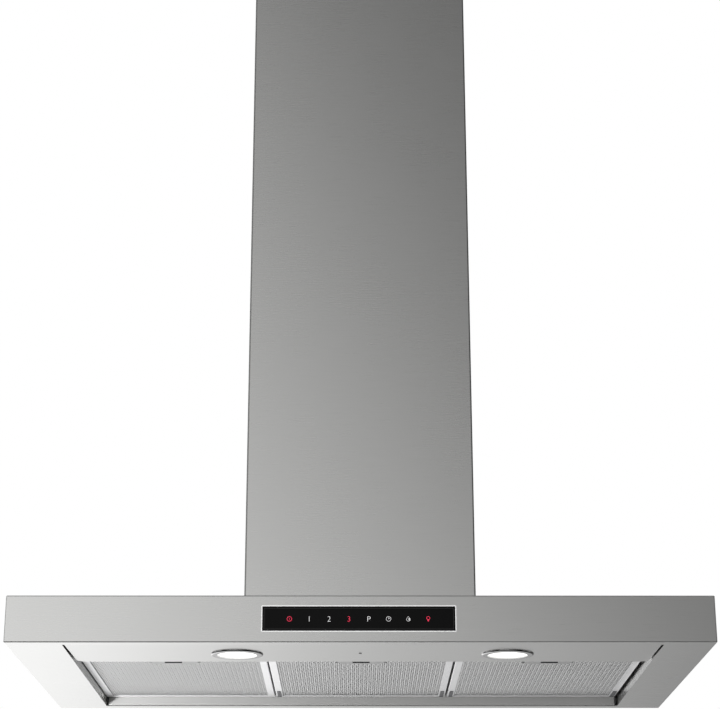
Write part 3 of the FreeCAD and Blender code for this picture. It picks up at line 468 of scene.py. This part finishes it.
# %% Plain finishes
def coated(name, colour, roughness, grain_size, bump, metallic=0.0, speck=0.06):
    """Moulded plastic, rubber, cast or plated metal: fine grain, patches and a little relief."""
    material, tree, output = new_material(name)
    shader = add(tree, "ShaderNodeBsdfPrincipled", Metallic=metallic)
    place = tree.nodes.new("ShaderNodeTexCoord")
    fine = add(tree, "ShaderNodeTexNoise", Scale=grain_size, Detail=3.0)
    tree.links.new(place.outputs["Object"], fine.inputs["Vector"])
    patches = use_group(tree, SMUDGES, Size=14.0, Strength=0.06)
    shade = add(tree, "ShaderNodeMapRange")
    shade.inputs["To Min"].default_value = 1.0 - speck
    shade.inputs["To Max"].default_value = 1.0 + speck
    tree.links.new(fine.outputs["Fac"], shade.inputs["Value"])
    tint = add(tree, "ShaderNodeVectorMath", operation="SCALE")
    tint.inputs[0].default_value = colour
    tree.links.new(shade.outputs[0], tint.inputs["Scale"])
    tree.links.new(tint.outputs[0], shader.inputs["Base Color"])
    dull = add(tree, "ShaderNodeMath", operation="ADD")
    dull.inputs[0].default_value = roughness
    tree.links.new(patches.outputs["Change"], dull.inputs[1])
    tree.links.new(dull.outputs[0], shader.inputs["Roughness"])
    relief = add(tree, "ShaderNodeBump", Strength=bump, Distance=RELIEF_DEPTH)
    tree.links.new(fine.outputs["Fac"], relief.inputs["Height"])
    tree.links.new(relief.outputs[0], shader.inputs["Normal"])
    tree.links.new(shader.outputs[0], output.inputs["Surface"])
    return material


# %% [markdown]
# ### Glass
# The touch glass is black behind, with a thin grey line printed inside its edge. The line could be
# a piece of its own, but it has no thickness, so the material draws it at a fixed distance from the
# edge. The lenses of the lamps are frosted and lit. A lit surface clips to white easily, so their
# light is no stronger than paper.

# %% Glass of the controls
glass_low, glass_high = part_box("control_glass")
GLASS_MIDDLE = ((glass_low[0] + glass_high[0]) / 2, (glass_low[2] + glass_high[2]) / 2)
GLASS_HALF = ((glass_high[0] - glass_low[0]) / 2, (glass_high[2] - glass_low[2]) / 2)
PRINT_INSET = 2.4 * MM
PRINT_LINE = 0.35 * MM


def control_glass():
    """Black glass with a thin printed line inside its edge, under a slightly smeared surface."""
    material, tree, output = new_material("black_glass")
    shader = add(tree, "ShaderNodeBsdfPrincipled", IOR=1.5)
    shader.inputs["Specular IOR Level"].default_value = 0.08
    place = tree.nodes.new("ShaderNodeTexCoord")
    parts = tree.nodes.new("ShaderNodeSeparateXYZ")
    tree.links.new(place.outputs["Object"], parts.inputs[0])
    reach = []
    for axis, middle, half in zip("XZ", GLASS_MIDDLE, GLASS_HALF):
        offset = add(tree, "ShaderNodeMath", operation="SUBTRACT")
        offset.inputs[1].default_value = middle
        tree.links.new(parts.outputs[axis], offset.inputs[0])
        away = add(tree, "ShaderNodeMath", operation="ABSOLUTE")
        tree.links.new(offset.outputs[0], away.inputs[0])
        past = add(tree, "ShaderNodeMath", operation="SUBTRACT")
        past.inputs[1].default_value = half - PRINT_INSET
        tree.links.new(away.outputs[0], past.inputs[0])
        reach.append(past)
    outline = add(tree, "ShaderNodeMath", operation="MAXIMUM")
    tree.links.new(reach[0].outputs[0], outline.inputs[0])
    tree.links.new(reach[1].outputs[0], outline.inputs[1])
    line = add(tree, "ShaderNodeMath", operation="COMPARE")
    line.inputs[1].default_value = 0.0
    line.inputs[2].default_value = PRINT_LINE
    tree.links.new(outline.outputs[0], line.inputs[0])
    ink = add(tree, "ShaderNodeMix", data_type="RGBA")
    ink.inputs["A"].default_value = (0.003, 0.003, 0.003, 1)
    ink.inputs["B"].default_value = (0.024, 0.024, 0.024, 1)
    tree.links.new(line.outputs[0], ink.inputs["Factor"])
    tree.links.new(ink.outputs["Result"], shader.inputs["Base Color"])
    patches = use_group(tree, SMUDGES, Size=30.0, Strength=0.08)
    dull = add(tree, "ShaderNodeMath", operation="ADD")
    dull.inputs[0].default_value = 0.09
    tree.links.new(patches.outputs["Change"], dull.inputs[1])
    tree.links.new(dull.outputs[0], shader.inputs["Roughness"])
    tree.links.new(shader.outputs[0], output.inputs["Surface"])
    return material


# %% Glass of the lamps
def lamp_glass():
    """Frosted lens with the lamp on, grained by its frost."""
    material, tree, output = new_material("lamp_glass")
    shader = add(tree, "ShaderNodeBsdfPrincipled", Roughness=0.4)
    shader.inputs["Base Color"].default_value = (0.9, 0.89, 0.86, 1)
    shader.inputs["Emission Strength"].default_value = 1.0
    place = tree.nodes.new("ShaderNodeTexCoord")
    frost = add(tree, "ShaderNodeTexNoise", Scale=900.0, Detail=2.0)
    tree.links.new(place.outputs["Object"], frost.inputs["Vector"])
    glow = add(tree, "ShaderNodeMix", data_type="RGBA")
    glow.inputs["A"].default_value = (0.76, 0.76, 0.75, 1)
    glow.inputs["B"].default_value = (0.95, 0.95, 0.94, 1)
    tree.links.new(frost.outputs["Fac"], glow.inputs["Factor"])
    tree.links.new(glow.outputs["Result"], shader.inputs["Emission Color"])
    relief = add(tree, "ShaderNodeBump", Strength=0.2, Distance=RELIEF_DEPTH)
    tree.links.new(frost.outputs["Fac"], relief.inputs["Height"])
    tree.links.new(relief.outputs[0], shader.inputs["Normal"])
    tree.links.new(shader.outputs[0], output.inputs["Surface"])
    return material


# %% [markdown]
# ### One finish for each slot
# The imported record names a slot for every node, and each slot gets one finish here. After the
# colour, a coated finish is given its roughness, the fineness of its grain and the depth of its
# relief.

# %% Give each slot its finish
STEEL = (0.62, 0.62, 0.61)
finishes = {
    "stainless": brushed_metal("stainless", STEEL, along=18.0, across=1000.0, contrast=0.09, dullness=0.28,
                               spread=0.05, bump=0.015, smudge=0.04, folds=True),
    "satin_steel": brushed_metal("satin_steel", STEEL, along=5.0, across=1400.0, contrast=0.02,
                                 dullness=0.30, spread=0.03, bump=0.02, smudge=0.03),
    "galvanised": coated("galvanised", (0.55, 0.56, 0.57), 0.42, 90.0, 0.05, metallic=1.0, speck=0.12),
    # bright_rim: its near-white colour is partly the frame's own light finish and partly painted
    # highlight, for the white its metal edge mirrors.
    "bright_rim": coated("bright_rim", (0.93, 0.93, 0.93), 0.22, 600.0, 0.02, metallic=0.3, speck=0.03),
    "aluminium": brushed_metal("aluminium", (0.84, 0.84, 0.85), along=9.0, across=900.0, contrast=0.06,
                               dullness=0.32, spread=0.08, bump=0.04, smudge=0.04, metallic=0.6),
    "mesh_aluminium": coated("mesh_aluminium", (0.72, 0.72, 0.72), 0.50, 400.0, 0.08, metallic=0.95),
    "matt_plate": coated("matt_plate", (0.45, 0.45, 0.45), 0.50, 500.0, 0.05, metallic=0.9),
    "rail_steel": coated("rail_steel", (0.38, 0.38, 0.375), 0.5, 500.0, 0.03, metallic=0.35, speck=0.03),
    "polished_chrome": coated("polished_chrome", (0.52, 0.52, 0.52), 0.09, 300.0, 0.01, metallic=1.0),
    "screw_dark": coated("screw_dark", (0.025, 0.025, 0.025), 0.45, 700.0, 0.05),
    "screw_bright": coated("screw_bright", (0.62, 0.62, 0.60), 0.28, 500.0, 0.05, metallic=1.0),
    "spring_steel": coated("spring_steel", (0.55, 0.55, 0.56), 0.30, 500.0, 0.05, metallic=1.0),
    "motor_steel": coated("motor_steel", (0.34, 0.34, 0.36), 0.38, 300.0, 0.08, metallic=1.0),
    "black_glass": control_glass(),
    "lamp_glass": lamp_glass(),
    "circuit_board": coated("circuit_board", (0.03, 0.16, 0.07), 0.30, 300.0, 0.05),
    "plastic_black": coated("plastic_black", (0.025, 0.025, 0.027), 0.45, 900.0, 0.12),
    "plastic_grey": coated("plastic_grey", (0.30, 0.31, 0.32), 0.48, 900.0, 0.12),
    "plastic_white": coated("plastic_white", (0.78, 0.78, 0.75), 0.42, 900.0, 0.10),
    "rubber_black": coated("rubber_black", (0.03, 0.03, 0.03), 0.62, 700.0, 0.15),
    "pad_grey": coated("pad_grey", (0.10, 0.10, 0.105), 0.6, 700.0, 0.15),
}
slot_of = {part["node"]: part["material_slot"] for part in frame["record"]["subparts"]}
for name, node in nodes.items():
    node.data.materials.clear()
    node.data.materials.append(finishes[slot_of[name]])
print("finishes", len(finishes))

# %% [markdown]
# ## The mesh of the filters
# Each filter holds layers of expanded aluminium: a sheet is slit and pulled until its strands
# swing between their two neighbours. Where two strands touch they are still joined, and a long
# narrow cell opens between them. The model's plain sheets stand in for it. Here one strand is
# drawn as a flat ribbon that swings from side to side, and its mirror image is its neighbour.
# A picture of holes would be lighter to render, but near by it would look flat, and the meshes are
# also kept by themselves. A whole number of cells is fitted between the frame and the latch, so
# nothing is cut.

# %% One strand
STRAND_WIDTH = 1.95 * MM
STRAND_THICKNESS = 0.3 * MM
STRAND_TILT = 4
JOINED_SHARE = 0.42
CELL_X = 5.8 * MM
CELL_Y = 9.6 * MM


def add_strand(work, count, cell_x, cell_y, hand):
    """Ribbon of count cells along Y that starts beside its neighbour on one hand."""
    swing = cell_x / 4 - STRAND_WIDTH / 2
    sides = (-hand, -hand, hand, hand)
    starts = (0.0, JOINED_SHARE, 0.5, 0.5 + JOINED_SHARE)
    steps = len(starts) * count
    grid = bmesh.ops.create_grid(work, x_segments=1, y_segments=steps, size=0.5)["verts"]
    for vert in grid:
        cell, step = divmod(round((vert.co.y + 0.5) * steps), len(starts))
        across = vert.co.x * STRAND_WIDTH
        vert.co.x = across + sides[step] * swing
        vert.co.y = (cell + starts[step]) * cell_y
        vert.co.z = across * hand * math.tan(math.radians(STRAND_TILT))
    faces = list({face for vert in grid for face in vert.link_faces})
    made = bmesh.ops.extrude_face_region(work, geom=faces, use_keep_orig=True)["geom"]
    verts = [item for item in made if isinstance(item, bmesh.types.BMVert)]
    bmesh.ops.translate(work, verts=verts, vec=(0, 0, STRAND_THICKNESS))
    return grid + verts


def repeat(work, count, step):
    """Copy everything so far into a line of count."""
    first = work.verts[:] + work.edges[:] + work.faces[:]
    for number in range(1, count):
        copy = bmesh.ops.duplicate(work, geom=first)["geom"]
        verts = [item for item in copy if isinstance(item, bmesh.types.BMVert)]
        bmesh.ops.translate(work, verts=verts, vec=Vector(step) * number)


# %% Fill a rectangle with strands
def mesh_block(x_low, x_high, y_low, y_high, height):
    """Block of expanded mesh in a rectangle, at one height."""
    count_x = max(1, round((x_high - x_low) / CELL_X))
    count_y = max(1, round((y_high - y_low) / CELL_Y))
    cell_x = (x_high - x_low) / count_x
    cell_y = (y_high - y_low) / count_y
    work = bmesh.new()
    for hand, share in ((1, 0.25), (-1, 0.75)):
        verts = add_strand(work, count_y, cell_x, cell_y, hand)
        bmesh.ops.translate(work, verts=verts, vec=(x_low + share * cell_x, y_low, height))
    bmesh.ops.recalc_face_normals(work, faces=work.faces)
    repeat(work, count_x, (cell_x, 0, 0))
    return work


# %% Mesh of each filter
LAYER_HEIGHTS = (0.30 * MM, 5.50 * MM)
EDGE_GAP = 0.6 * MM
PLATE_GAP = 2.6 * MM


def filter_mesh(side):
    """Two layers round the latch plate's pocket, as one piece."""
    low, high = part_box("filter_" + side + "_mesh")
    plate_low, plate_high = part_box("filter_" + side + "_escutcheon")
    x_low, x_high = low[0] + EDGE_GAP, high[0] - EDGE_GAP
    y_low, y_high = low[1] + EDGE_GAP, high[1] - EDGE_GAP
    x_left, x_right = plate_low[0] - PLATE_GAP, plate_high[0] + PLATE_GAP
    y_back = plate_high[1] + PLATE_GAP
    mesh = bpy.data.meshes.new("mesh_" + side)
    whole = bmesh.new()
    for height in LAYER_HEIGHTS:
        z = low[2] + height
        for block in (mesh_block(x_low, x_high, y_back, y_high, z),
                      mesh_block(x_low, x_left, y_low, y_back, z),
                      mesh_block(x_right, x_high, y_low, y_back, z)):
            block.to_mesh(mesh)
            block.free()
            whole.from_mesh(mesh)
    whole.to_mesh(mesh)
    whole.free()
    piece = bpy.data.objects.new("mesh_" + side, mesh)
    bpy.context.scene.collection.objects.link(piece)
    mesh.materials.append(finishes["mesh_aluminium"])
    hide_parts("filter_" + side + "_mesh")
    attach(piece, "filter_" + side)
    return piece


for side in ("left", "middle", "right"):
    piece = filter_mesh(side)
    print(piece.name, len(piece.data.polygons), "faces")

# %% [markdown]
# ## The signs on the glass
# Eight touch keys shine through the glass: on, three speeds, boost, clock, drop and lamp. On the
# real glass they are print with a light behind it. Here each sign is a thin raised shape that glows,
# so that it stays crisp from near. Numbers come from text objects, and the others from circles and
# bars that are bridged, moved and extruded.

# %% Light of the signs
def sign_light(name, colour):
    """Light that shines through a sign, uneven as behind print."""
    material, tree, output = new_material(name)
    shader = add(tree, "ShaderNodeBsdfPrincipled", Roughness=0.35)
    shader.inputs["Base Color"].default_value = (*colour, 1)
    shader.inputs["Emission Strength"].default_value = 0.85
    place = tree.nodes.new("ShaderNodeTexCoord")
    grain = add(tree, "ShaderNodeTexNoise", Scale=2500.0, Detail=1.0)
    tree.links.new(place.outputs["Object"], grain.inputs["Vector"])
    glow = add(tree, "ShaderNodeMix", data_type="RGBA")
    glow.inputs["A"].default_value = (*[part * 0.8 for part in colour], 1)
    glow.inputs["B"].default_value = (*colour, 1)
    tree.links.new(grain.outputs["Fac"], glow.inputs["Factor"])
    tree.links.new(glow.outputs["Result"], shader.inputs["Emission Color"])
    tree.links.new(shader.outputs[0], output.inputs["Surface"])
    return material


SIGN_WHITE = sign_light("sign_white", (0.47, 0.47, 0.47))
SIGN_RED = sign_light("sign_red", (0.60, 0.02, 0.06))


# %% Helpers for flat drawings
RING_SEGMENTS = 32


def flat_ring(work, centre, outer, inner):
    """Ring between two circles, in the plane of the paper."""
    edges = []
    for radius in (outer, inner):
        made = bmesh.ops.create_circle(work, segments=RING_SEGMENTS, radius=radius,
                                       matrix=Matrix.Translation((*centre, 0)))
        edges += list({edge for vert in made["verts"] for edge in vert.link_edges})
    bmesh.ops.bridge_loops(work, edges=edges)


def flat_bar(work, start, end, width):
    """Straight stroke between two points."""
    start, end = Vector(start), Vector(end)
    run = end - start
    size = Matrix.Diagonal((run.length, width, 1, 1))
    turn = Matrix.Rotation(math.atan2(run.y, run.x), 4, "Z")
    middle = Matrix.Translation((*((start + end) / 2), 0))
    bmesh.ops.create_grid(work, x_segments=1, y_segments=1, size=0.5, matrix=middle @ turn @ size)


# %% Stand a drawing on the glass
SIGN_COUNT = 8
SIGN_PITCH = 25.0 * MM
SIGN_DROP = 0.4 * MM
SIGN_RAISE = 0.10 * MM


def place_sign(mesh, key):
    """Stand a flat drawing on the glass, at one of the eight keys."""
    x = GLASS_MIDDLE[0] + (key - (SIGN_COUNT - 1) / 2) * SIGN_PITCH
    place = Matrix.Translation((x, glass_low[1], GLASS_MIDDLE[1] - SIGN_DROP))
    mesh.transform(place @ Matrix.Rotation(math.radians(90), 4, "X"))


def finish_sign(mesh, name, key, material):
    """Place a sign, give it its light and let it ride on the canopy."""
    place_sign(mesh, key)
    mesh.materials.clear()
    mesh.materials.append(material)
    piece = bpy.data.objects.new(name, mesh)
    bpy.context.scene.collection.objects.link(piece)
    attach(piece, "canopy")


# %% Numbers and the letter for boost
SIGN_HEIGHT = 7.0 * MM
FONT_SIZE = 1.42 * SIGN_HEIGHT
THINNED_BY = 0.18 * MM


def written_sign(text, name, key, material):
    """Sign from a text object, made a mesh before it is placed."""
    curve = bpy.data.curves.new(name, "FONT")
    curve.body = text
    curve.align_x = "CENTER"
    curve.size = FONT_SIZE
    curve.offset = -THINNED_BY
    curve.extrude = SIGN_RAISE / 2
    writing = bpy.data.objects.new(name, curve)
    bpy.context.scene.collection.objects.link(writing)
    mesh = bpy.data.meshes.new_from_object(writing)
    bpy.data.objects.remove(writing)
    mesh.transform(Matrix.Translation((0, -SIGN_HEIGHT / 2, SIGN_RAISE / 2)))
    finish_sign(mesh, name, key, material)


written_sign("1", "sign_speed_1", 1, SIGN_WHITE)
written_sign("2", "sign_speed_2", 2, SIGN_WHITE)
written_sign("3", "sign_speed_3", 3, SIGN_RED)
written_sign("P", "sign_boost", 4, SIGN_WHITE)


# %% Drawn signs
MERGE_WITHIN = 0.001 * MM


def drawn_sign(draw, name, key, material):
    """Sign from flat faces, made solid and placed."""
    work = bmesh.new()
    draw(work)
    bmesh.ops.remove_doubles(work, verts=work.verts, dist=MERGE_WITHIN)
    bmesh.ops.recalc_face_normals(work, faces=work.faces)
    for face in work.faces:
        if face.normal.z < 0:
            face.normal_flip()
    solid = bmesh.ops.extrude_face_region(work, geom=work.faces[:], use_keep_orig=True)["geom"]
    verts = [item for item in solid if isinstance(item, bmesh.types.BMVert)]
    bmesh.ops.translate(work, verts=verts, vec=(0, 0, SIGN_RAISE))
    bmesh.ops.recalc_face_normals(work, faces=work.faces)
    mesh = bpy.data.meshes.new(name)
    work.to_mesh(mesh)
    work.free()
    finish_sign(mesh, name, key, material)


# %% Four drawings
DIAL_RADIUS = 3.2 * MM
STROKE = 0.45 * MM
DROP_RADIUS = 2.6 * MM
DROP_MIDDLE = -0.6 * MM
DROP_TAPER = 0.75
DROP_STRETCH = 0.5


def draw_power(work):
    """Circle with an upright bar in it."""
    flat_ring(work, (0, 0), DIAL_RADIUS, 2.7 * MM)
    flat_bar(work, (0, -1.0 * MM), (0, 1.2 * MM), STROKE)


def draw_clock(work):
    """Circle with two hands."""
    flat_ring(work, (0, 0), DIAL_RADIUS, 2.75 * MM)
    flat_bar(work, (0, -0.2 * MM), (0, 2.0 * MM), STROKE)
    flat_bar(work, (0.1 * MM, 0), (1.5 * MM, 1.2 * MM), 0.4 * MM)


def draw_drop(work):
    """Circle whose upper half is drawn out to a point, with a bar in its right half."""
    flat_ring(work, (0, DROP_MIDDLE), DROP_RADIUS, 2.2 * MM)
    for vert in work.verts:
        above = vert.co.y - DROP_MIDDLE
        if above > 0:
            vert.co.x *= 1 - DROP_TAPER * (above / DROP_RADIUS) ** 1.5
            vert.co.y += above * DROP_STRETCH
    flat_bar(work, (0.9 * MM, -2.0 * MM), (0.9 * MM, 1.0 * MM), 1.2 * MM)


def draw_lamp(work):
    """Circle over two short strokes, as a bulb over its cap."""
    flat_ring(work, (0, 1.0 * MM), 2.3 * MM, 1.8 * MM)
    flat_bar(work, (0, -1.2 * MM), (0, -2.1 * MM), 2.0 * MM)
    flat_bar(work, (0, -2.4 * MM), (0, -3.0 * MM), 1.5 * MM)


drawn_sign(draw_power, "sign_power", 0, SIGN_RED)
drawn_sign(draw_clock, "sign_clock", 5, SIGN_WHITE)
drawn_sign(draw_drop, "sign_drop", 6, SIGN_WHITE)
drawn_sign(draw_lamp, "sign_lamp", 7, SIGN_RED)
print("signs ready")
